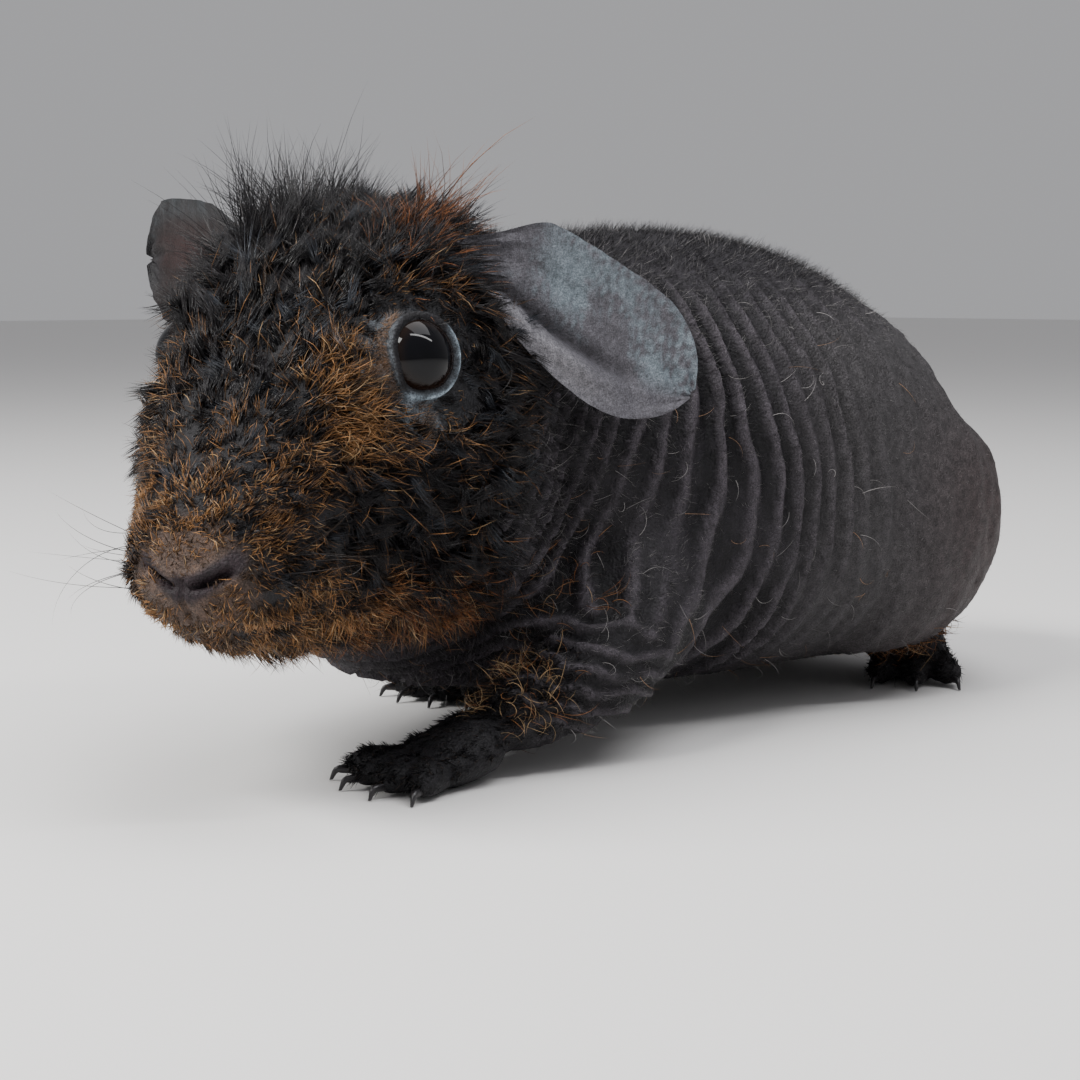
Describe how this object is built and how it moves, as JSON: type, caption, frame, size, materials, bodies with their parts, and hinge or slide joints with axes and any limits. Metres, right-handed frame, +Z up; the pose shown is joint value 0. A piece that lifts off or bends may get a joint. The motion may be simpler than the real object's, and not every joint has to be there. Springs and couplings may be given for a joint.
{
  "type": "skinny pig figure",
  "caption": "Young hairless guinea pig crouched on its feet, head turned to its left, with a wiry crown, drooping ears and folded skin.",
  "frame": {"origin": "middle of the bounding box in plan, on the floor under the soles", "axes": "+Z up, the animal faces -Y, its left side is +X"},
  "size_m": [0.0656, 0.1401, 0.0659],
  "materials": {
    "skin": "matt, folded",
    "coat": "short wiry fur",
    "ear": "soft sheen",
    "foot": "short fur",
    "eye": "wet gloss"
  },
  "bodies": {
    "root": {"torso": "skin", "neck": "skin", "foreleg_left": "skin", "foreleg_right": "skin", "hindleg_left": "skin", "hindleg_right": "skin", "head": "coat", "ear_left": "ear", "ear_right": "ear", "forefoot_left": "foot", "forefoot_right": "foot", "hindfoot_left": "foot", "hindfoot_right": "foot", "eye_left": "eye", "eye_right": "eye"}
  },
  "joints": []
}
